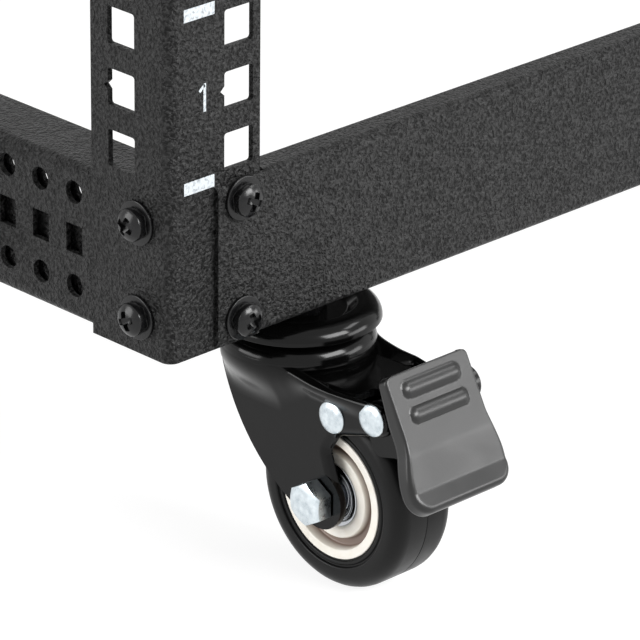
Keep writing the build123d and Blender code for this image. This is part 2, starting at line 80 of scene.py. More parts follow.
# Rack grid on the posts, in millimetres from the post's lower outer corner
unit_height = 44.45
rack_units = 6
edge_gap = 0.55
foot_height = edge_gap + unit_height
hole_first = 6.35
hole_pitch = 15.875
mark_left = 4.8
mark_width = 10.0
mark_height = 3.27
digit_middle = 11.1
digit_height = 7.3
digit_stroke = 0.85
print_thickness = 0.03

# Screws, up from the face that the washer sits on. The recess is a cross of four equal arms.
head_radius = 4.25
head_top = 4.7
cad_head_height = 3.5
washer_radius = 5.75
washer_sheet = 0.9
shank_radius = 2.5
nut_flats = 8.0
nut_height = 4.0
recess_half_width = 0.68
recess_reach = 2.4
recess_depth = 1.9

# Caster, in millimetres from the swivel axis and down from the posts' foot
trail = 21.8
axle_drop = 47.9
leg_outside = 13.5
race_radius = 21.5
lower_race_radius = 20.2
pivot_out = 40.5
pivot_drop = 19.6
rivet_out = 26.4
rivet_drop = 23.55
rivet_radius = 4.3

# How far a skin stands off the CAD face that it covers, so that the two don't flicker
proud = 0.05

# Stem and its kingpin head, up from the posts' foot
stem_radius = 4.0
stem_pitch = 1.25
stem_top = 14.0
stem_nut = 13.0
race_floor = -5.9
kingpin_radius = 7.0
kingpin_foot = -20.9

# Wheel, radii and places across it from its middle. The profiles end buried in each other.
wheel_radius = 25.5
tread_half = 9.95
hub_radius = 17.2
hub_face = 9.5
boss_face = 8.7
groove_floor = 6.6
buried = 6.0
axle_radius = 3.0
bearing_radius = 8.65

# Pedal: its face line along and up in the caster's frame, then the cap's sizes on the flat sheet.
# The ribs are bars sunk until 0.95 mm of them stands proud, placed down from the cap's top edge.
face_line = ((-45.4, -6.5), (-50.0, -15.2), (-55.0, -24.5), (-58.5, -33.1), (-61.9, -37.6))
cap_half = 14.5
cap_flare = 2.4
cap_corner = 5.2
cap_shoulder = 1.8
cap_sheet = 0.9
rib_places = (4.6, 11.2)
rib_half = 8.0
rib_radius = 3.2
rib_sunk = 2.25
cheek_inner = 9.1
cheek_sheet = 2.0

# Camera, in millimetres from the same corner, and in degrees
camera_place = (-751.8, -817.9, 500.0)
camera_turn = 44.47
camera_dip = 23.69
camera_roll = 0.577
camera_lens = 281.0


def linear(colour):
    """Linear RGBA of an sRGB colour written as a hex string."""
    parts = [int(colour[place:place + 2], 16) / 255 for place in (1, 3, 5)]
    return [part / 12.92 if part <= 0.04045 else ((part + 0.055) / 1.055) ** 2.4 for part in parts] + [1.0]


def add(tree, kind, inputs=None, **settings):
    """Adds a node with its settings, and gives each named input a value or a link."""
    node = tree.nodes.new(kind)
    for name, value in settings.items():
        setattr(node, name, value)
    for name, value in (inputs or {}).items():
        if isinstance(value, bpy.types.NodeSocket):
            tree.links.new(value, node.inputs[name])
        else:
            node.inputs[name].default_value = value
    return node


def blank(name):
    """New material with an empty tree, its tree and its Object coordinates."""
    material = bpy.data.materials.new(name)
    material.use_nodes = True
    tree = material.node_tree
    tree.nodes.clear()
    return material, tree, add(tree, "ShaderNodeTexCoord").outputs["Object"]


def shade(tree, **inputs):
    """Adds a Principled shader and the output. Underscores stand for spaces in its inputs' names."""
    named = {key.replace("_", " "): value for key, value in inputs.items()}
    shader = add(tree, "ShaderNodeBsdfPrincipled", named)
    add(tree, "ShaderNodeOutputMaterial", {"Surface": shader.outputs[0]})


def grain(tree, place, size, detail=2.0, distortion=0.0):
    """Noise over the object whose lumps are about size millimetres wide."""
    return add(tree, "ShaderNodeTexNoise", {"Vector": place, "Scale": 1 / (size * MM), "Detail": detail,
                                            "Distortion": distortion}).outputs["Fac"]


def spread(tree, value, low, high, from_low=0.3, from_high=0.7):
    """The value stretched from one range to another."""
    return add(tree, "ShaderNodeMapRange", {"Value": value, "From Min": from_low, "From Max": from_high,
                                            "To Min": low, "To Max": high}).outputs["Result"]


def tint(tree, value, dark, light):
    """Colour between two linear colours, chosen by the value."""
    return add(tree, "ShaderNodeMix", {"Factor": value, "A": dark, "B": light},
               data_type="RGBA").outputs["Result"]


def relief(tree, height, depth):
    """Bumped normal, depth millimetres from the lowest to the highest value."""
    return add(tree, "ShaderNodeBump",
               {"Height": height, "Distance": depth * MM, "Strength": 1.0}).outputs["Normal"]


def coat_lumps(tree, place):
    """Lumps of the powder coat, drawn 0.95 mm wide so that they show in the render."""
    return grain(tree, place, 0.95, 1.5, 0.6)


def powder_coat():
    """Fine-textured black powder coat, baked on sheet steel.

    The powder melts to a skin of small wrinkled lumps about a millimetre wide. Besides their bumps, their
    tops are painted lighter as painted highlights and the hollows between them darker as painted shade.
    """
    material, tree, place = blank("black textured powder coat")
    lumps = coat_lumps(tree, place)
    # Painted highlight on the lumps' tops and painted shade in their hollows: the base colour goes from the
    # dark to the light colour as the lumps rise.
    high = spread(tree, lumps, 0, 1, 0.4, 0.62)
    shade(tree, Base_Color=tint(tree, high, look().coat_hollow_shade, look().coat_lump_highlight),
          Roughness=spread(tree, grain(tree, place, 9.0), 0.34, 0.42),
          Specular_IOR_Level=0.15,
          Normal=relief(tree, lumps, 1.1))
    return material


def gloss_enamel():
    """Black enamel, dipped and stoved on pressed steel: mirror-like, with a faint orange peel."""
    material, tree, place = blank("black stoved enamel")
    shade(tree, Base_Color=look().enamel,
          Roughness=spread(tree, grain(tree, place, 6.0), 0.12, 0.19),
          Specular_IOR_Level=0.22,
          Normal=relief(tree, grain(tree, place, 3.0, 1.0), 0.02))
    return material


def satin_paint():
    """Satin black paint on the pedal cap: smoother than the powder coat, with a broad soft shine."""
    material, tree, place = blank("satin pedal paint")
    shade(tree, Base_Color=look().pedal,
          Roughness=spread(tree, grain(tree, place, 7.0), 0.29, 0.35),
          Specular_IOR_Level=0.45,
          Normal=relief(tree, grain(tree, place, 0.6), 0.012))
    return material


def black_plate():
    """Glossy black plating on screws, washers and nuts: thin, so that turned edges stay sharp."""
    material, tree, place = blank("glossy black plated steel")
    shade(tree, Base_Color=linear("#0c0c0d"),
          Roughness=spread(tree, grain(tree, place, 1.8), 0.17, 0.3),
          Specular_IOR_Level=0.35,
          Normal=relief(tree, grain(tree, place, 0.9), 0.02))
    return material


def bright_zinc():
    """Bright bluish zinc plating on rivets and bolts: pale metal, slightly cloudy."""
    material, tree, place = blank("bright blue zinc plate")
    cloud = grain(tree, place, 1.8, 3.0)
    shade(tree, Base_Color=tint(tree, spread(tree, cloud, 0, 1), linear("#bfc9cf"), linear("#e0e8ec")),
          Metallic=1.0,
          Roughness=spread(tree, cloud, 0.24, 0.38),
          Normal=relief(tree, cloud, 0.02))
    return material


def hub_plastic():
    """Cream polypropylene of the hub, injection moulded: soft sheen, and painted shade that turns its groove
    brownish grey.
    """
    material, tree, place = blank("cream moulded polypropylene")
    groove_shade = add(tree, "ShaderNodeAttribute", attribute_name="groove_shade").outputs["Fac"]
    cream = tint(tree, spread(tree, grain(tree, place, 4.0), 0, 1), look().hub, linear("#fcf8f0"))
    # The groove's brownish grey #86746a is painted shade, mixed in by the groove's attribute.
    shade(tree, Base_Color=tint(tree, groove_shade, cream, linear("#86746a")),
          Roughness=0.34,
          Normal=relief(tree, grain(tree, place, 0.8), 0.01))
    return material


def tread_rubber():
    """Black polyurethane tread, cast round the hub: satin, with a fine mould skin."""
    material, tree, place = blank("black cast polyurethane")
    shade(tree, Base_Color=look().tread,
          Roughness=spread(tree, grain(tree, place, 5.0), 0.32, 0.42),
          Specular_IOR_Level=0.2,
          Normal=relief(tree, grain(tree, place, 0.7), 0.012))
    return material


def bearing_steel():
    """Turned and polished steel of the wheel's bearing: its rings catch thin bright lines."""
    material, tree, place = blank("polished bearing steel")
    shade(tree, Base_Color=linear("#b9bcc0"), Metallic=1.0,
          Roughness=spread(tree, grain(tree, place, 0.8), 0.12, 0.22))
    return material


def printed_ink():
    """White screen-printed ink of the unit marks: flat, and greyer where the coat's lumps under it are low.
    """
    material, tree, place = blank("white screen print")
    lumps = coat_lumps(tree, place)
    # The ink goes grey where the lumps are low and white where they are high.
    high = spread(tree, lumps, 0, 1, 0.3, 0.5)
    shade(tree, Base_Color=tint(tree, high, linear("#8f959a"), look().ink),
          Roughness=0.6,
          Normal=relief(tree, lumps, 0.2))
    return material


def rounded_line(corners, radii, steps):
    """Open line through the corners, each turned off by an arc of its radius.

    The arc touches both sides at radius times the tangent of half the turn from the corner, and
    its points are spaced evenly in angle about a centre on the corner's inner bisector.
    """
    corners = np.asarray(corners, float)
    pieces = [corners[:1]]
    for before, corner, after, radius in zip(corners, corners[1:], corners[2:], radii):
        first, second = before - corner, after - corner
        first, second = first / np.hypot(*first), second / np.hypot(*second)
        half = math.acos(max(-1.0, min(1.0, float(first @ second)))) / 2
        if radius < 1e-6 or half > math.pi / 2 - 0.01:
            pieces.append(corner[None])
            continue
        bisector = (first + second) / np.hypot(*(first + second))
        centre = corner + bisector * radius / math.sin(half)
        start = corner + first * radius / math.tan(half) - centre
        end = corner + second * radius / math.tan(half) - centre
        share = np.linspace(0, 1, steps + 1)[:, None]
        turn = math.pi - 2 * half
        arc = start * np.sin((1 - share) * turn) + end * np.sin(share * turn)
        pieces.append(centre + arc / math.sin(turn))
    pieces.append(corners[-1:])
    return np.concatenate(pieces)


def evenly(line, count):
    """Points at even distances along a line, the unit direction at each, and its distance along."""
    steps = np.hypot(*np.diff(line, axis=0).T)
    place = np.concatenate([[0], np.cumsum(steps)])
    along = np.linspace(0, place[-1], count)
    points = np.stack([np.interp(along, place, line[:, axis]) for axis in (0, 1)], axis=-1)
    ahead = np.gradient(points, along, axis=0)
    return points, ahead / np.linalg.norm(ahead, axis=1, keepdims=True), along


def turned(profile, steps):
    """Grid of a profile of radius and height carried round the local Z axis."""
    profile = np.asarray(profile, float)
    angle = np.linspace(0, 2 * np.pi, steps, endpoint=False)
    radius, height = profile[:, :1], profile[:, 1:]
    return np.stack([radius * np.cos(angle), radius * np.sin(angle), height + 0 * angle], axis=-1)


def hexagon(flats, low, high, chamfer=0.08):
    """Grid of a hexagonal block from low to high, its upper corners turned off by a cone.

    The wall's radius is half the flats over the cosine of the angle from the nearest flat's
    middle. The cone rises 30 degrees inwards from that wall to a flat disc.
    """
    angle = np.linspace(0, 2 * np.pi, 36, endpoint=False)
    wall = flats / 2 / np.cos((angle + np.pi / 6) % (np.pi / 3) - np.pi / 6)
    disc = flats / 2 * (1 - chamfer)
    edge = high - (wall - disc) * math.tan(math.radians(30))
    rings = [(0 * wall, low + 0 * wall), (wall * 0.97, low + 0 * wall), (wall, low + 0.03 * flats + 0 * wall),
             (wall, edge), ((wall + disc) / 2, (edge + high) / 2), (disc + 0 * wall, high + 0 * wall),
             (disc * 0.5 + 0 * wall, high + 0 * wall), (0 * wall, high + 0 * wall)]
    return np.stack([np.stack([radius * np.cos(angle), radius * np.sin(angle), height], axis=-1)
                     for radius, height in rings])


def thread(radius, low, high, pitch):
    """Grid of a threaded rod: its radius goes in and out by 0.3 of the pitch at each turn.

    The ridges follow a helix, as each one's height grows by one pitch over a whole turn. The last
    turn is drawn in, and the end is closed to a point.
    """
    angle = np.linspace(0, 2 * np.pi, 41)
    height = np.arange(low, high, pitch / 4)[:, None]
    phase = (height / pitch - angle / (2 * np.pi)) * 2 * np.pi
    drawn_in = 1 - np.clip((high - height) / pitch, 0, 1)
    wall = radius - pitch * 0.3 * (0.5 - 0.5 * np.cos(phase)) - drawn_in * pitch * 0.4
    body = np.stack([wall * np.cos(angle), wall * np.sin(angle), height + 0 * angle], axis=-1)
    last = body[-1:].copy()
    last[..., :2] = 0
    return np.concatenate([body, last])[:, :-1]


def facing(points, origin, axis):
    """Points of a local grid carried to an origin, with its Z axis along the given direction."""
    ahead = np.asarray(axis, float)
    helper = np.array([0.0, 0.0, 1.0]) if abs(ahead[2]) < 0.9 else np.array([0.0, 1.0, 0.0])
    across = np.cross(helper, ahead)
    across = across / np.linalg.norm(across)
    return np.asarray(origin, float) + points @ np.stack([across, np.cross(ahead, across), ahead])


def skin(grids, sharp, wrap=True):
    """Mesh of one or more grids of points in millimetres, each closed to a ring where wrap is true.

    Rows and columns give quads. Doubles at poles and seams are merged, and faces turned outwards.
    Edges that turn by more than sharp degrees stay crisp.
    """
    shape = bmesh.new()
    for points in grids:
        rows, columns = points.shape[:2]
        index = np.arange(rows * columns).reshape(rows, columns)
        if wrap:
            index = np.concatenate([index, index[:, :1]], axis=1)
        quads = np.stack([index[:-1, :-1], index[:-1, 1:], index[1:, 1:], index[1:, :-1]], axis=-1)
        mesh = bpy.data.meshes.new("grid")
        mesh.from_pydata((points.reshape(-1, 3) * MM).tolist(), [], quads.reshape(-1, 4).tolist())
        part = bmesh.new()
        part.from_mesh(mesh)
        bmesh.ops.remove_doubles(part, verts=part.verts, dist=0.0015 * MM)
        bmesh.ops.recalc_face_normals(part, faces=part.faces)
        part.to_mesh(mesh)
        part.free()
        shape.from_mesh(mesh)
        bpy.data.meshes.remove(mesh)
    mesh = bpy.data.meshes.new("surface")
    shape.to_mesh(mesh)
    shape.free()
    mesh.shade_smooth()
    mesh.set_sharp_from_angle(angle=math.radians(sharp))
    return mesh


def merged(node):
    """Copy of a CAD node's loose triangles as one shape, its corners merged."""
    shape = bmesh.new()
    shape.from_mesh(nodes[node].data)
    bmesh.ops.remove_doubles(shape, verts=shape.verts, dist=0.002 * MM)
    return shape


def linked(name, data):
    """New object of the scene for a mesh, a light or a camera."""
    thing = bpy.data.objects.new(name, data)
    bpy.context.scene.collection.objects.link(thing)
    return thing


def islands(node):
    """Low and high corners, in millimetres, of each separate solid of a CAD node."""
    shape = merged(node)
    shape.verts.ensure_lookup_table()
    seen = set()
    boxes = []
    for start in shape.verts:
        if start.index in seen:
            continue
        seen.add(start.index)
        members = [start]
        for vertex in members:
            for edge in vertex.link_edges:
                other = edge.other_vert(vertex)
                if other.index not in seen:
                    seen.add(other.index)
                    members.append(other)
        places = np.array([vertex.co for vertex in members]) / MM
        boxes.append((places.min(0), places.max(0)))
    shape.free()
    return boxes


def new_piece(name, mesh, material, body, replaced=()):
    """Links a mesh as a piece of the rack, riding on its body in place of the replaced nodes."""
    piece = linked(name, mesh)
    mesh.materials.append(material)
    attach(piece, body)
    if replaced:
        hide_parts(*replaced)
    return piece


def dressed(node, name, material, body, edge):
    """Copy of a CAD node with its corners merged and its edges turned over by edge metres.

    Flat faces stay flat, because each corner's normal is weighted by the area of its faces.
    """
    shape = merged(node)
    bmesh.ops.dissolve_limit(shape, angle_limit=math.radians(0.5), verts=shape.verts, edges=shape.edges)
    mesh = bpy.data.meshes.new(name)
    shape.to_mesh(mesh)
    shape.free()
    corner = math.radians(32)
    mesh.shade_smooth()
    mesh.set_sharp_from_angle(angle=corner)
    piece = new_piece(name, mesh, material, body, (node,))
    bevel = piece.modifiers.new("turned edges", "BEVEL")
    bevel.width = edge
    bevel.segments = 2
    bevel.limit_method = "ANGLE"
    bevel.angle_limit = corner
    bevel.use_clamp_overlap = True
    weight = piece.modifiers.new("flat faces", "WEIGHTED_NORMAL")
    weight.keep_sharp = False
    return piece


class Caster:
    """Place of one caster: carries grids from the caster's own frame to the rack's."""

    def __init__(self, name):
        low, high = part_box(f"caster_{name}_hub")
        middle = (low + high) / 2 / MM
        self.turn = 1 if name.startswith("front") else -1
        self.across = middle.x
        self.along = middle.y + self.turn * trail
        self.foot = post_low.z / MM
        self.swivel = f"caster_{name}_swivel"
        self.wheel = f"caster_{name}_wheel"
        self.brake = f"caster_{name}_brake"

    def put(self, points):
        """Points of the caster's frame in the rack's, a rear caster turned by half a turn."""
        return points * (self.turn, self.turn, 1) + (self.across, self.along, self.foot)

    def on_wheel(self, profile, steps):
        """Grid of a profile of radius and place across the wheel, turned about the axle."""
        return self.put(facing(turned(profile, steps), (0, -trail, -axle_drop), (1, 0, 0)))


def mirrored(profile):
    """Closed wheel profile from its right half, from the inner radius out and back on the left."""
    profile = np.asarray(profile, float)
    back = profile[::-1] * (1, -1)
    return np.concatenate([profile, back, profile[:1]])


def screw_head_grid():
    """Grid of a pan head with its cross recess, standing on its washer.

    The dome falls from the middle as the 2.4th power of the radius. The columns follow the arms of
    the cross: each arm's side lies at the arcsine of its half width over the radius, so its walls
    are straight, and inside them the height drops to a floor that is deepest in the middle.
    """
    radius = np.array([0, 0.4, 0.7, 0.95, 1.3, 1.7, 2.1, recess_reach,
                       2.55, 2.85, 3.2, 3.55, 3.88, 4.08, 4.2])
    share = radius / head_radius
    dome = head_top - 1.5 * share ** 2.4 - 0.12 * share ** 12
    side = np.arcsin(np.clip(recess_half_width / np.maximum(radius, 0.05), 0, math.sin(math.pi / 4)))
    lip = np.minimum(side + 0.17 / np.maximum(radius, 0.3), math.pi / 4)
    low = np.stack([0 * side, 0.8 * side, side], axis=1)
    high = np.stack([lip, (lip + math.pi / 4) / 2], axis=1)
    arm = np.concatenate([-high[:, ::-1], -low[:, :0:-1], low, high], axis=1)
    inside = np.array([0, 0, 1, 1, 1, 1, 1, 0, 0], bool)
    corner = np.full((len(radius), 1), math.pi / 4)
    angle = np.concatenate([np.concatenate([arm + turn, corner + turn], axis=1)
                            for turn in np.arange(4) * math.pi / 2], axis=1)
    deep = np.tile(np.append(inside, False), 4)[None, :] & (radius <= recess_reach)[:, None]
    deep |= (radius * math.sin(math.pi / 4) < recess_half_width)[:, None]
    floor = head_top - recess_depth * (1 - 0.45 * radius / recess_reach)
    height = np.where(deep, floor[:, None], dome[:, None])
    reach = radius[:, None] * np.where(deep & (radius == recess_reach)[:, None], 0.96, 1.0)
    top = np.stack([reach * np.cos(angle), reach * np.sin(angle), height], axis=-1)
    rim = [(head_radius, 2.9), (head_radius, 2.0), (4.12, 1.3), (3.9, washer_sheet)]
    last = angle[-1]
    wall = [np.stack([size * np.cos(last), size * np.sin(last), place + 0 * last], axis=-1)
            for size, place in rim]
    return np.concatenate([top, wall])


def screw_grids(behind):
    """Grids of a pan screw with washer, shank and nut, its seat at 0 and its nut ending at -behind."""
    washer = rounded_line([(shank_radius, 0), (washer_radius, 0), (washer_radius, washer_sheet),
                           (shank_radius, washer_sheet), (shank_radius, 0)], [0.12, 0.22, 0], 3)
    shank = [(0, -behind - 0.4), (shank_radius - 0.4, -behind - 0.4),
             (shank_radius, -behind), (shank_radius, 0.7)]
    nut = hexagon(nut_flats, -nut_height, 0) * (1, 1, -1) + (0, 0, -behind)
    return [screw_head_grid(), turned(washer, 48), turned(shank, 20), nut]


def size_setting(name, description, value):
    """Length setting, its default given in millimetres."""
    return bpy.props.FloatProperty(name=name, description=description, default=value * MM, min=0.0,
                                   precision=5, subtype="DISTANCE", unit="LENGTH")


def colour_setting(name, description, value):
    """Colour setting, its default given as an sRGB hex colour."""
    return bpy.props.FloatVectorProperty(name=name, description=description, default=linear(value), size=4,
                                         min=0.0, max=1.0, subtype="COLOR")


def light_setting(name, description, value):
    """Brightness setting, where 1 is as bright as white."""
    return bpy.props.FloatProperty(name=name, description=description, default=value, min=0.0)


class RackLook(bpy.types.PropertyGroup):
    """Sizes, colours and lights that a user would change."""
    sheet_edge: size_setting("Sheet edge", "Rounding of the coated sheets' edges", 0.22)
    fork_edge: size_setting("Fork edge", "Rounding of the pressed forks' edges", 0.3)
    # The coat's two colours are painted shade in the hollows between its lumps and painted highlight on their
    # tops.
    coat_hollow_shade: colour_setting("Coat, dark", "Powder coat between its lumps", "#0a0a0a")
    coat_lump_highlight: colour_setting("Coat, light", "Powder coat on top of its lumps", "#303030")
    enamel: colour_setting("Enamel", "Enamel of the raceways and forks", "#050505")
    pedal: colour_setting("Pedal", "Paint of the pedal caps", "#161616")
    hub: colour_setting("Hub", "Plastic of the wheels' hubs", "#f6f0e4")
    tread: colour_setting("Tread", "Polyurethane of the wheels' treads", "#080808")
    ink: colour_setting("Ink", "Printed unit marks and numbers", "#c2c8cc")
    front_light: light_setting("Front light", "Brightness of the long softbox in front", 17.0)
    right_light: light_setting("Right light", "Brightness of the low softbox on the right", 7.0)
    left_light: light_setting("Left light", "Brightness of the softbox behind on the left", 5.4)
    top_light: light_setting("Top light", "Brightness of the small softbox above", 7.0)
    room_light: light_setting("Room light", "Strength of the room's even light", 0.25)


def look():
    """The settings of this scene."""
    return bpy.context.scene.rack_look


class RACK_OT_sheets(bpy.types.Operator):
    """Posts, beams and side rails in powder coat"""
    bl_idname = "rack.sheets"
    bl_label = "Posts, beams and rails"

    def execute(self, context):
        coat = powder_coat()
        for node in nodes:
            if node.startswith(("post_", "beam_", "rail_")) and "screws" not in node:
                dressed(node, node + "_sheet", coat, "frame", look().sheet_edge)
        return {"FINISHED"}


class RACK_OT_marks(bpy.types.Operator):
    """Unit marks and numbers printed on the posts"""
    bl_idname = "rack.marks"
    bl_label = "Printed marks"

    def execute(self, context):
        ink = printed_ink()
        for side in (-1, 1):
            for end in (-1, 1):
                self.column(ink, side, end)
        return {"FINISHED"}

    def column(self, ink, side, end):
        """Marks at each unit's edge and the unit numbers of one post, side and end being -1 or 1."""
        outer = -post_low.x / MM
        face = -post_low.y / MM
        foot = post_low.z / MM
        strips = []
        for unit in range(rack_units + 1):
            height = foot_height + unit * unit_height
            line = np.array([(mark_left, height), (mark_left + mark_width, height)])
            strips.append(self.strip(line, mark_height))
        for unit in range(rack_units):
            height = foot_height + unit * unit_height + hole_first + hole_pitch
            for line in self.strokes(unit + 1):
                line = line * digit_height
                line[:, 0] *= side * end
                strips.append(self.strip(line + (digit_middle, height), digit_stroke))
        grids = []
        for strip in strips:
            across = side * (outer - strip[..., 0])
            along = end * (face + strip[..., 2])
            grids.append(np.stack([across, along, foot + strip[..., 1]], axis=-1))
        hand = "left" if side < 0 else "right"
        name = f"marks_{'front' if end < 0 else 'rear'}_{hand}"
        new_piece(name, skin(grids, 50), ink, "frame")

    def strip(self, line, width):
        """Thin flat bar along a line: each point is moved half the width to both sides of the line.

        The columns go round the bar's section, and both ends close to a point.
        """
        ahead = np.gradient(line, axis=0)
        ahead = ahead / np.linalg.norm(ahead, axis=1, keepdims=True)
        beside = np.stack([-ahead[:, 1], ahead[:, 0]], axis=-1) * width / 2
        section = [(1, 0.0), (1, print_thickness), (-1, print_thickness), (-1, 0.0)]
        rows = np.stack([np.concatenate([line + sign * beside, np.full((len(line), 1), rise)], axis=1)
                         for sign, rise in section], axis=1)
        middle = rows.mean(axis=1, keepdims=True) + 0 * rows
        return np.concatenate([middle[:1], rows, middle[-1:]])

    def strokes(self, number):
        """Centre lines of a plain digit one unit high about its middle, arcs for its bowls."""
        def bow(x, y, rx, ry, start, end, count=14):
            """Points of an ellipse about (x, y) between two angles in degrees."""
            turn = np.radians(np.linspace(start, end, count))
            return np.stack([x + rx * np.cos(turn), y + ry * np.sin(turn)], axis=-1)

        if number == 1:
            return [np.array([(-0.17, 0.25), (0.07, 0.45)]), np.array([(0.07, 0.5), (0.07, -0.5)])]
        if number == 2:
            return [np.concatenate([bow(0, 0.22, 0.23, 0.23, 170, -40), [(-0.23, -0.45), (0.25, -0.45)]])]
        if number == 3:
            return [bow(0, 0.22, 0.21, 0.23, 160, -80), bow(0, -0.22, 0.24, 0.24, 90, -160)]
        if number == 4:
            return [np.array([(0.3, -0.2), (-0.28, -0.2), (0.12, 0.5)]),
                    np.array([(0.12, 0.1), (0.12, -0.5)])]
        if number == 5:
            return [np.concatenate([[(0.22, 0.45), (-0.18, 0.45), (-0.2, 0.06)],
                                    bow(0, -0.17, 0.25, 0.27, 125, -150)])]
        return [bow(0, -0.2, 0.23, 0.26, 0, 360, 24), bow(0.12, 0.0, 0.35, 0.48, 95, 185)]


class RACK_OT_screws(bpy.types.Operator):
    """Screws, washers and nuts of the frame"""
    bl_idname = "rack.screws"
    bl_label = "Frame screws"

    def execute(self, context):
        plating = black_plate()
        for node, axis in (("beam_screws", 1), ("rail_screws", 0), ("clamp_screws", 0)):
            grids = []
            for number, (low, high) in enumerate(islands(node)):
                middle = (low + high) / 2
                out = np.zeros(3)
                out[axis] = math.copysign(1, middle[axis])
                seat = middle.copy()
                seat[axis] = (high[axis] if out[axis] > 0 else low[axis]) - out[axis] * cad_head_height
                behind = high[axis] - low[axis] - cad_head_height - nut_height
                turn = np.array(Matrix.Rotation(math.radians(20 + 47 * number), 3, "Z"))
                grids += [facing(grid @ turn.T, seat, out) for grid in screw_grids(behind)]
                if node == "clamp_screws":
                    spacer = turned([(2.6, -1.6), (4.5, -1.6), (4.5, -3.1), (2.6, -3.1), (2.6, -1.6)], 32)
                    grids.append(facing(spacer, seat, out))
            new_piece(node + "_plated", skin(grids, 33), plating, "frame", (node,))
        return {"FINISHED"}


class RACK_OT_raceways(bpy.types.Operator):
    """Upper raceways, stems and nuts that stay with the frame"""
    bl_idname = "rack.raceways"
    bl_label = "Raceways and stems"

    def execute(self, context):
        enamel, plating = gloss_enamel(), black_plate()
        races, stems = [], []
        bore = stem_radius + 0.2
        profile = rounded_line(
            [(bore, race_floor), (12.4, race_floor), (14.0, -4.5), (15.2, -3.4), (race_radius, -3.2),
             (race_radius, -7.7), (race_radius - 0.6, -8.0), (12.0, -8.0), (bore, -7.6), (bore, race_floor)],
            [1.0, 0.6, 1.2, 4.2, 0.3, 0.3, 1.0, 0.2], 14)
        kingpin = turned([(0, kingpin_foot), (kingpin_radius - 0.8, kingpin_foot), (kingpin_radius, -20.2),
                          (kingpin_radius, -19.0), (3.9, -18.9), (3.9, -6.0)], 40)
        stem = thread(stem_radius, race_floor, stem_top, stem_pitch)
        nuts = [hexagon(stem_nut, race_floor, 0.5), hexagon(stem_nut, 2.05, 7.6)]
        for name in caster_names:
            caster = Caster(name)
            races.append(caster.put(turned(profile, 128)))
            stems += [caster.put(grid) for grid in (*nuts, stem, kingpin)]
        new_piece("upper_raceways", skin(races, 40), enamel, "frame", ("caster_races",))
        new_piece("stems_and_nuts", skin(stems, 40), plating, "frame", ("caster_stems",))
        return {"FINISHED"}


class RACK_OT_forks(bpy.types.Operator):
    """Pressed forks with their lower raceways and shoulders"""
    bl_idname = "rack.forks"
    bl_label = "Forks"

    def execute(self, context):
        enamel = gloss_enamel()
        ring = turned(self.ring(), 128)
        shoulders = [self.shoulder(side) for side in (-1, 1)]
        for name in caster_names:
            caster = Caster(name)
            dressed(f"caster_{name}_fork", f"{name}_pressed_fork", enamel, caster.swivel,
                    look().fork_edge)
            for piece, mesh in (
                    ("lower_raceway", skin([caster.put(ring)], 40)),
                    ("shoulders", skin([caster.put(grid) for grid in shoulders], 60, False))):
                new_piece(f"{name}_{piece}", mesh, enamel, caster.swivel)
        return {"FINISHED"}

    def ring(self):
        """Profile of the lower raceway, a dome that bulges out and rounds off down to the plate."""
        swell = lower_race_radius + 0.1
        return rounded_line(
            [(9.0, -10.2), (swell, -10.2), (swell, -14.6), (swell - 1.1, -16.2), (13.6, -20.1)],
            [3.8, 0.8, 3.0], 14)

    def shoulder(self, side):
        """Grid of one shoulder, where the raceway's rim runs on as the rounded top edge of a leg.

        Along it the rim's half width falls from the raceway's circle to the leg's flared top edge by
        the smooth maximum (d + root(d squared + 2)) / 2 of the distance d between them, and its height
        falls by an exponential. Across it, a quarter circle turns over the rim, and a smooth step runs
        down the leg, less far beside the rivet. Its rear edge slants forward as the leg's does, and in
        front of the plate it caps the leg's sheet.
        """
        def rise(start, length):
            """0 up to a place along the caster, then rising evenly to 1 over a length."""
            return np.clip((along - start) / length, 0, 1)

        along = np.concatenate([np.linspace(14.5, -8, 30), np.linspace(-8.5, -43.5, 60)])
        # Shares of the way to the rear edge and of the plate, which ends in front of the raceway
        rear = rise(9, 5.5) ** 2
        plate = rise(-28, 6)
        # How far the rim swells out from the leg, and where it stands
        circle = np.sqrt(np.maximum(lower_race_radius ** 2 - along ** 2, 1.0))
        flare = 2.5 * rise(-41, 14) ** 0.8
        gap = circle - leg_outside - np.maximum(-along - lower_race_radius, 0) - flare
        swell = (flare + (gap + np.sqrt(gap ** 2 + 2)) / 2) * (1 - rear)
        rim = leg_outside + proud + swell
        crown = -12.5 - 3.1 * (1 - np.exp(-np.maximum(-along - 10, 0) / 8)) - 3.9 * rear
        radius = 1.1 + np.clip(swell / 4.0, 0, 1) * plate
        # Rows across: two hidden under the raceway, the quarter circle, and the step down the leg
        turn = np.radians(np.linspace(90, 0, 9))[:, None]
        step = np.linspace(0, 1, 18)[1:, None]
        ease = step * step * (3 - 2 * step)
        foot = -21.0 - 7.0 * rise(-18, 10)
        start = crown + proud - radius
        across = np.concatenate([
            [rim - radius - 1.05 - 2.95 * plate, rim - radius - 0.8 - 0.6 * plate],
            rim - radius + radius * np.cos(turn),
            rim - swell * ease]).T
        height = np.concatenate([
            [-17.6 + 0.9 * plate, crown - 0.35 * radius],
            start + radius * np.sin(turn),
            start + (foot - start) * step]).T
        below = np.maximum(-17 - height, 0)
        slant = (0.28 * below + 0.0085 * below ** 2) * rise(-2, 16.5)[:, None]
        return np.stack([side * across, along[:, None] - slant, height], axis=-1)


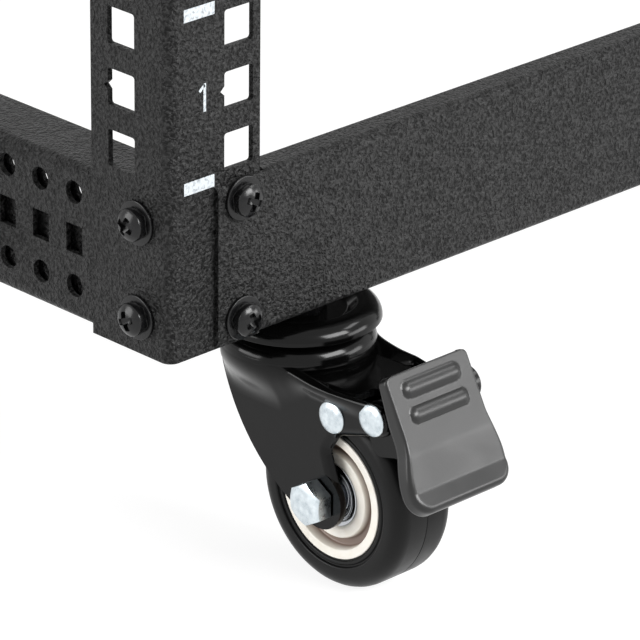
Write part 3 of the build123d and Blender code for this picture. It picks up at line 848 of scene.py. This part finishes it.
class RACK_OT_fittings(bpy.types.Operator):
    """Axle bolts, rivets and pivot nuts of the casters"""
    bl_idname = "rack.fittings"
    bl_label = "Rivets and axles"

    def execute(self, context):
        zinc, plating = bright_zinc(), black_plate()
        dome = turned(rounded_line(
            [(0, 1.25), (3.0, 1.1), (rivet_radius, 0.45), (rivet_radius, 0.0),
             (2.9, 0.0), (2.9, -2.0), (0, -2.0)],
            [3.0, 0.5, 0.1, 0, 0], 6), 48)
        cap = turned(rounded_line(
            [(0, 7.4), (4.4, 7.4), (4.7, 6.9), (4.7, 5.2), (4.2, 5.0), (4.2, 3.9), (4.8, 3.7), (4.8, 0.0)],
            [0.3, 0.3, 0.3, 0.1, 0.1, 0.3], 3), 48)
        rod = turned([(axle_radius, -9), (axle_radius, 13.6)], 32)
        pin = turned([(2.5, -2 * leg_outside), (2.5, 0)], 24)
        nut = hexagon(10.2, 0.4, 5.1, 0.05)
        axle = (0, -trail, -axle_drop)
        rivet = (0, -rivet_out, -rivet_drop)
        pivot = (0, -pivot_out, -pivot_drop)
        bright = [self.at(rod, axle, 1, 0), self.at(rod, axle, -1, 0)]
        for side in (-1, 1):
            bright += [self.at(dome, rivet, side, leg_outside), self.at(nut, axle, side, leg_outside)]
        bright += [self.at(dome, pivot, -1, leg_outside), self.at(pin, pivot, -1, leg_outside)]
        black = self.at(cap, pivot, 1, leg_outside)
        for name in caster_names:
            caster = Caster(name)
            new_piece(f"{name}_rivets_and_axle", skin([caster.put(grid) for grid in bright], 33),
                      zinc, caster.swivel, (f"caster_{name}_hardware",))
            new_piece(f"{name}_pivot_cap", skin([caster.put(black)], 33),
                      plating, caster.swivel)
        return {"FINISHED"}

    def at(self, grid, middle, side, out):
        """A grid drawn up its Z axis, set out from the caster's middle plane to one side."""
        return facing(grid, np.add(middle, (side * out, 0, 0)), (side, 0, 0))


class RACK_OT_wheels(bpy.types.Operator):
    """Tread, hub and bearing of each wheel"""
    bl_idname = "rack.wheels"
    bl_label = "Wheels"

    def execute(self, context):
        cream, rubber, steel = hub_plastic(), tread_rubber(), bearing_steel()
        for name in caster_names:
            caster = Caster(name)
            for piece, profile, steps, finish, slot, node in (
                    ("tread", self.tread(), 128, rubber, "tread_rubber", "tyre"),
                    ("hub_moulding", self.rim(), 96, cream, "hub_plastic", "hub"),
                    ("bearing_rings", self.rings(), 96, steel, "bearing_steel", "bearing")):
                mesh = skin([caster.on_wheel(mirrored(profile), steps)], 40)
                if node == "hub":
                    self.paint_groove_shade(mesh, caster)
                new_piece(f"{name}_{piece}", mesh, finish, caster.wheel, (f"caster_{name}_{node}",))
        return {"FINISHED"}

    def tread(self):
        """Half profile of the tread: a bead and a groove beside the hub, then the round shoulder."""
        seat, seam = hub_radius - 0.05, 0.18
        return rounded_line(
            [(seat, buried), (seat, 9.15), (17.6, 9.15), (17.9, 9.6), (18.5, 9.6), (18.8, 9.2),
             (19.2, 9.2), (19.5, tread_half), (wheel_radius, tread_half), (wheel_radius, seam),
             (wheel_radius - seam, 0.0)],
            [0.1, 0.15, 0.3, 0.3, 0.15, 0.15, 0.5, 4.2, 0.05], 7)

    def rim(self):
        """Half profile of the hub: the boss round the bearing, the groove and the raised rim."""
        bore = bearing_radius + 0.05
        return rounded_line(
            [(bore, buried), (bore, boss_face - 0.3), (9.4, boss_face), (11.7, boss_face),
             (12.3, groove_floor), (14.2, groove_floor), (14.8, hub_face), (hub_radius, hub_face),
             (hub_radius, buried)],
            [0.2, 0.4, 0.5, 0.5, 0.5, 0.4, 0.2], 5)

    def rings(self):
        """Half profile of the bearing: the sleeve on the axle, the seal and the outer ring."""
        bore, sleeve, sleeve_end, seal = axle_radius + 0.05, 5.0, 11.1, 7.7
        return rounded_line(
            [(bore, sleeve_end), (sleeve, sleeve_end), (sleeve, seal), (6.3, seal), (6.3, 8.6), (7.0, 8.7),
             (7.0, 8.2), (7.4, 8.2), (7.4, 8.75), (bearing_radius, 8.75), (bearing_radius, buried)],
            [0.3, 0.3, 0.1, 0.2, 0.2, 0.1, 0.1, 0.2, 0.25], 4)

    def paint_groove_shade(self, mesh, caster):
        """Attribute that is 1 down in the hub's groove and 0 on its two raised rings: where the groove's
        painted shade goes.
        """
        places = np.empty(len(mesh.vertices) * 3, np.float32)
        mesh.vertices.foreach_get("co", places)
        places = places.reshape(-1, 3) / MM
        across = np.abs(places[:, 0] - caster.across)
        groove_shade = mesh.attributes.new("groove_shade", "FLOAT", "POINT")
        # Painted shade: full down in the groove, fading out over 1.6 mm towards the rim's face.
        deep = np.clip((hub_face - 0.5 - across) / 1.6, 0, 1).astype(np.float32)
        raised = (across <= groove_floor - 0.4) | (np.abs(across - boss_face) <= 0.6)
        groove_shade.data.foreach_set("value", deep * ~raised)


class RACK_OT_pedals(bpy.types.Operator):
    """Brake pedals, pressed caps with ribs, skirts and a lip, on their cheeks"""
    bl_idname = "rack.pedals"
    bl_label = "Brake pedals"

    def execute(self, context):
        paint, enamel = satin_paint(), gloss_enamel()
        cap = self.cap()
        cheeks = [self.cheek(side) for side in (-1, 1)]
        for name in caster_names:
            caster = Caster(name)
            piece = new_piece(f"{name}_brake_pedal_cap", skin([caster.put(cap)], 30, False), paint,
                              caster.brake, (f"caster_{name}_pedal",))
            wall = piece.modifiers.new("sheet thickness", "SOLIDIFY")
            wall.thickness = cap_sheet * MM
            wall.offset = -1
            new_piece(f"{name}_pedal_cheeks", skin([caster.put(grid) for grid in cheeks], 33),
                      enamel, caster.brake)
        return {"FINISHED"}

    def cap(self):
        """Grid of the cap's outer skin, worked out flat and then laid along the bent face line.

        Rows go down the face, round its lower corners and over the lip. Columns go from the edge of
        one skirt over the face to the other's. An edge point is set in from the outline and back from
        the face by a quarter circle, then only back. Over the lip each row keeps its own step of
        that section, so that it meets the skirts. Two pills are raised on the face, each a round bar
        of rib_radius sunk until 0.95 stands proud.
        """
        middle, ahead, down = evenly(rounded_line(face_line, [16, 16, 0.3], 10), 240)
        normal = np.stack([ahead[:, 1], -ahead[:, 0]], axis=-1)
        length = down[-1]
        rows = np.linspace(0, length - cap_corner, 72)
        flare = np.clip((np.interp(rows, down, -middle[:, 1]) - 20) / 12, 0, 1)
        early = np.clip(cap_shoulder - rows, 0, cap_shoulder)
        half = cap_half + cap_flare * flare * flare * (3 - 2 * flare)
        half = half - cap_shoulder + np.sqrt(cap_shoulder ** 2 - early ** 2)
        turn = np.radians(np.linspace(0, 90, 8))
        flat = np.zeros(5)
        step = np.linspace(0, 1, 6)[1:]
        edge = (0.9 + 0.8 * np.clip((rows - rows[-1] + 12) / 10, 0, 1))[:, None]
        deep = (2.5 + 1.6 * np.clip(rows / 12, 0, 1))[:, None]
        inset = edge * np.concatenate([1 - np.sin(turn), flat])
        back = np.concatenate([edge * (1 - np.cos(turn)), edge + (deep - edge) * step], axis=1)
        bend = np.radians(np.linspace(0, 90, 14))[1:, None]
        last = half[-1] - cap_corner
        chain = np.arange(inset.shape[1])
        order = np.maximum(chain[1:, None], chain)
        side = np.concatenate([half[:, None] - inset, last + (cap_corner - inset[-1]) * np.cos(bend),
                               np.full(order.shape, last)])
        drop = np.concatenate([rows[:, None] + 0 * inset, rows[-1] + (cap_corner - inset[-1]) * np.sin(bend),
                               length - inset[-1][order]])
        back = np.concatenate([back, back[-1] + 0 * bend, back[-1][order]])
        share = np.linspace(-1, 1, 65)[1:-1]
        side = np.concatenate([-side[:, ::-1], share * side[:, :1], side], axis=1)
        drop, back = (np.concatenate([part[:, ::-1], 0 * share + part[:, :1], part], axis=1)
                      for part in (drop, back))
        for place in rib_places:
            away = np.hypot(np.maximum(np.abs(side) - rib_half, 0), drop - place)
            back = back - np.maximum(np.sqrt(np.maximum(rib_radius ** 2 - away ** 2, 0)) - rib_sunk, 0)
        along, height = (
            np.interp(drop, down, middle[:, axis]) - np.interp(drop, down, normal[:, axis]) * back
            for axis in (0, 1))
        return np.stack([side, along, height], axis=-1)

    def cheek(self, side):
        """Grid of one cheek plate: rings of its outline, drawn in a little at both faces."""
        line = rounded_line(
            [(-49.0, -17.5), (-53.5, -25.5), (-54.0, -31.5), (-50.5, -29.4), (-46.5, -28.9), (-39.5, -30.8),
             (-36.2, -24.5), (-36.6, -16.0), (-43.0, -14.6), (-49.0, -17.5)],
            [1, 2, 3, 2, 3, 4, 4, 3], 6)[:-1]
        centre = line.mean(axis=0)
        rings = []
        for share, out in ((0.0, 0.0), (0.97, 0.0), (1.0, 0.25), (1.0, cheek_sheet - 0.25),
                           (0.97, cheek_sheet), (0.0, cheek_sheet)):
            ring = centre + (line - centre) * share
            rings.append(np.concatenate([np.full((len(ring), 1), side * (cheek_inner + out)), ring], axis=1))
        return np.stack(rings)


class RACK_OT_stage(bpy.types.Operator):
    """Pale floor, soft lights and the camera"""
    bl_idname = "rack.stage"
    bl_label = "Stage, lights and camera"

    def execute(self, context):
        self.floor()
        self.world()
        self.light("front softbox", (0.2, -0.81, 0.55), (1.15, 0.7), look().front_light)
        self.light("right softbox", (0.68, -0.72, 0.19), (1.1, 0.5), look().right_light)
        self.light("top softbox", (0.6, -0.36, 0.72), (0.8, 0.3), look().top_light)
        self.light("left softbox", (-0.8, 0.42, 0.36), (1.3, 1.3), look().left_light)
        self.camera()
        return {"FINISHED"}

    def seen(self, tree):
        """1 for what the camera sees straight, in gloss or through glass, and 0 for other light."""
        path = add(tree, "ShaderNodeLightPath").outputs
        seen = path["Is Camera Ray"]
        for ray in ("Is Glossy Ray", "Is Transmission Ray"):
            seen = add(tree, "ShaderNodeMath", {0: seen, 1: path[ray]}, operation="MAXIMUM").outputs[0]
        return seen

    def floor(self):
        """Round pale floor, white where it is seen, with the rack's soft shadow kept on it."""
        shape = bmesh.new()
        bmesh.ops.create_circle(shape, cap_ends=True, segments=96, radius=8.0)
        mesh = bpy.data.meshes.new("floor")
        shape.to_mesh(mesh)
        shape.free()
        material, tree, _ = blank("pale floor")
        seen = self.seen(tree)
        shade(tree, Base_Color=tint(tree, seen, linear("#e8e8e8"), linear("#8c8c8c")),
              Roughness=0.9,
              Specular_IOR_Level=0.0,
              Emission_Color=(1, 1, 1, 1),
              Emission_Strength=spread(tree, seen, 0.0, 0.84, 0.0, 1.0))
        mesh.materials.append(material)
        floor = linked("floor", mesh)
        floor.location = (0, 0, cad_low[2] - 0.1 * MM)
        floor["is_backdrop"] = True

    def world(self):
        """Even room light, seen as white by the camera and in gloss."""
        world = bpy.data.worlds.new("studio")
        bpy.context.scene.world = world
        world.use_nodes = True
        tree = world.node_tree
        tree.nodes.clear()
        strength = spread(tree, self.seen(tree), look().room_light, 1.0, 0.0, 1.0)
        background = add(tree, "ShaderNodeBackground", {"Color": (1, 1, 1, 1), "Strength": strength})
        add(tree, "ShaderNodeOutputWorld", {"Surface": background.outputs[0]})

    def light(self, name, towards, size, brightness):
        """Oblong soft light two metres off, aimed at the rack, its power worked out from its face.

        A face of area A that looks as bright as brightness gives pi times A times brightness watts.
        """
        lamp = bpy.data.lights.new(name, "AREA")
        lamp.shape = "RECTANGLE"
        lamp.size, lamp.size_y = size
        lamp.energy = math.pi * size[0] * size[1] * brightness
        holder = linked(name, lamp)
        aim = Vector(post_low) + Vector((0.05, 0.0, -0.02))
        holder.location = aim + Vector(towards).normalized() * 2.0
        holder.rotation_mode = "QUATERNION"
        holder.rotation_quaternion = (aim - holder.location).to_track_quat("-Z", "Y")

    def camera(self):
        """Long lens near the front left caster, as the photograph was taken."""
        lens = bpy.data.cameras.new("camera")
        lens.lens = camera_lens
        lens.sensor_width = 36.0
        camera = linked("camera", lens)
        turn, dip, roll = (math.radians(angle) for angle in (camera_turn, camera_dip, camera_roll))
        across = Vector((math.cos(turn), -math.sin(turn), 0))
        ahead = Vector((math.sin(turn) * math.cos(dip), math.cos(turn) * math.cos(dip), -math.sin(dip)))
        above = across.cross(ahead)
        right = math.cos(roll) * across + math.sin(roll) * above
        up = -math.sin(roll) * across + math.cos(roll) * above
        basis = Matrix((right, up, -ahead)).transposed().to_4x4()
        basis.translation = post_low + Vector(camera_place) * MM
        camera.matrix_world = basis
        lens.clip_start = 0.05
        lens.clip_end = 50.0
        bpy.context.scene.camera = camera


class RACK_PT_panel(bpy.types.Panel):
    """Buttons for every piece of the rack"""
    bl_idname = "RACK_PT_panel"
    bl_label = "Open-frame rack"
    bl_space_type = "VIEW_3D"
    bl_region_type = "UI"
    bl_category = "Rack"

    def draw(self, context):
        for name in RackLook.__annotations__:
            self.layout.prop(context.scene.rack_look, name)
        for operator in operators:
            self.layout.operator(operator.bl_idname)


operators = (RACK_OT_sheets, RACK_OT_marks, RACK_OT_screws, RACK_OT_raceways, RACK_OT_forks, RACK_OT_fittings,
             RACK_OT_wheels, RACK_OT_pedals, RACK_OT_stage)
classes = (RackLook, *operators, RACK_PT_panel)


def register():
    """Registers the settings, the operators and the panel."""
    for item in classes:
        bpy.utils.register_class(item)
    bpy.types.Scene.rack_look = bpy.props.PointerProperty(type=RackLook)


def unregister():
    """Removes what register added."""
    del bpy.types.Scene.rack_look
    for item in reversed(classes):
        bpy.utils.unregister_class(item)


def main():
    """Makes the whole rack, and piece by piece."""
    register()
    for operator in operators:
        group, action = operator.bl_idname.split(".")
        getattr(getattr(bpy.ops, group), action)()
    bpy.context.scene.view_settings.view_transform = "Standard"


if __name__ == "__main__":
    main()
